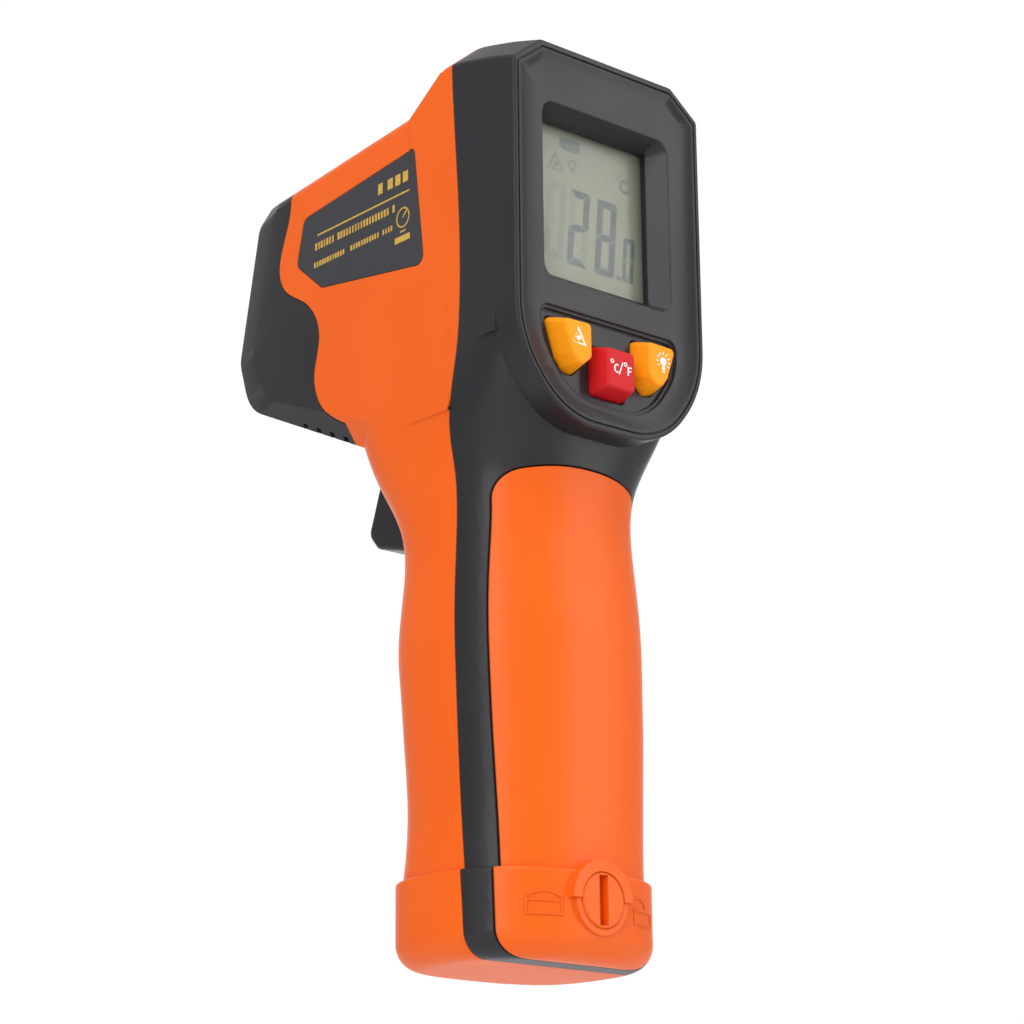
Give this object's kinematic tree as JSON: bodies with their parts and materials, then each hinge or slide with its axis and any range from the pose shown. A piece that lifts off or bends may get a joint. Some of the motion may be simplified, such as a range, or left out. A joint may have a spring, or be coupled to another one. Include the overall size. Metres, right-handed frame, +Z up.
{
  "type": "infrared thermometer",
  "caption": "Pistol-grip infrared thermometer with a recessed display, three keys, a sprung trigger and a lift-off battery cover with a coin lock.",
  "frame": {"origin": "centre of the flat foot of the handle", "axes": "+X to the user's right when the display is read, +Y forward along the barrel towards the muzzle, +Z up the handle"},
  "size_m": [0.0442, 0.0846, 0.1596],
  "materials": {
    "orange_abs": "satin moulded",
    "black_abs": "satin moulded",
    "label_film": "fine satin film with gold print",
    "clear_window": "clear polished",
    "lcd_glass": "reflective LCD",
    "amber_rubber": "moulded silicone",
    "red_rubber": "moulded silicone",
    "white_plastic": "matt",
    "board_green": "solder mask",
    "black_nylon": "matt",
    "dark_silicone": "zebra strip",
    "steel": "bright zinc",
    "brass": "turned",
    "infrared_lens": "coated",
    "cell_jacket": "printed film"
  },
  "bodies": {
    "housing": {"front_housing": "orange_abs", "rear_housing": "black_abs", "nose_cap": "black_abs", "side_label_left": "label_film", "side_label_right": "label_film", "display_window": "clear_window", "lcd_panel": "lcd_glass", "backlight_panel": "white_plastic", "elastomer_strips": "dark_silicone", "lcd_frame": "white_plastic", "main_board": "board_green", "tact_switches": "black_nylon", "buzzer": "black_nylon", "sensor_tube": "black_nylon", "ir_lens": "infrared_lens", "lens_retaining_ring": "black_nylon", "thermopile_sensor": "steel", "sensor_board": "board_green", "laser_module": "brass", "laser_window": "clear_window", "trigger_pin": "steel", "trigger_spring": "steel", "trigger_switch": "black_nylon", "switch_bracket": "black_nylon", "battery_bay": "black_nylon", "batteries": "cell_jacket", "battery_springs": "steel", "battery_plates": "steel", "housing_screws": "steel", "board_screws": "steel"},
    "battery_cover": {"battery_cover": "orange_abs"},
    "cover_lock": {"cover_lock": "orange_abs"},
    "trigger": {"trigger": "black_abs"},
    "switch_plunger": {"switch_plunger": "white_plastic"},
    "laser_button": {"laser_button": "amber_rubber"},
    "unit_button": {"unit_button": "red_rubber"},
    "backlight_button": {"backlight_button": "amber_rubber"}
  },
  "joints": [
    {"name": "trigger_pull", "type": "hinge", "parent": "housing", "child": "trigger", "pos_m": [0, 0.0214, 0.0934], "axis": [-1, 0, 0], "range_deg": [0, 12], "stiffness_Nm_per_rad": 0.12, "springref_deg": -14.32, "deforming": ["trigger_spring"]},
    {"name": "plunger_slide", "type": "slide", "parent": "housing", "child": "switch_plunger", "axis": [0, -1, 0], "range_m": [0, 0.0019]},
    {"name": "laser_button_push", "type": "slide", "parent": "housing", "child": "laser_button", "axis": [0, 1, 0], "range_m": [0, 0.0008], "stiffness_N_per_m": 600, "springref_m": -0.0015},
    {"name": "unit_button_push", "type": "slide", "parent": "housing", "child": "unit_button", "axis": [0, 1, 0], "range_m": [0, 0.0008], "stiffness_N_per_m": 600, "springref_m": -0.0015},
    {"name": "backlight_button_push", "type": "slide", "parent": "housing", "child": "backlight_button", "axis": [0, 1, 0], "range_m": [0, 0.0008], "stiffness_N_per_m": 600, "springref_m": -0.0015},
    {"name": "cover_lift", "type": "slide", "parent": "housing", "child": "battery_cover", "axis": [0, -1, 0], "range_m": [0, 0.03]},
    {"name": "lock_turn", "type": "hinge", "parent": "battery_cover", "child": "cover_lock", "pos_m": [0, -0.0188, 0.0097], "axis": [0, 1, 0], "range_deg": [0, 90]}
  ],
  "couplings": [
    {"joint": "plunger_slide", "follows": "trigger_pull", "m_per_rad": 0.0089}
  ]
}
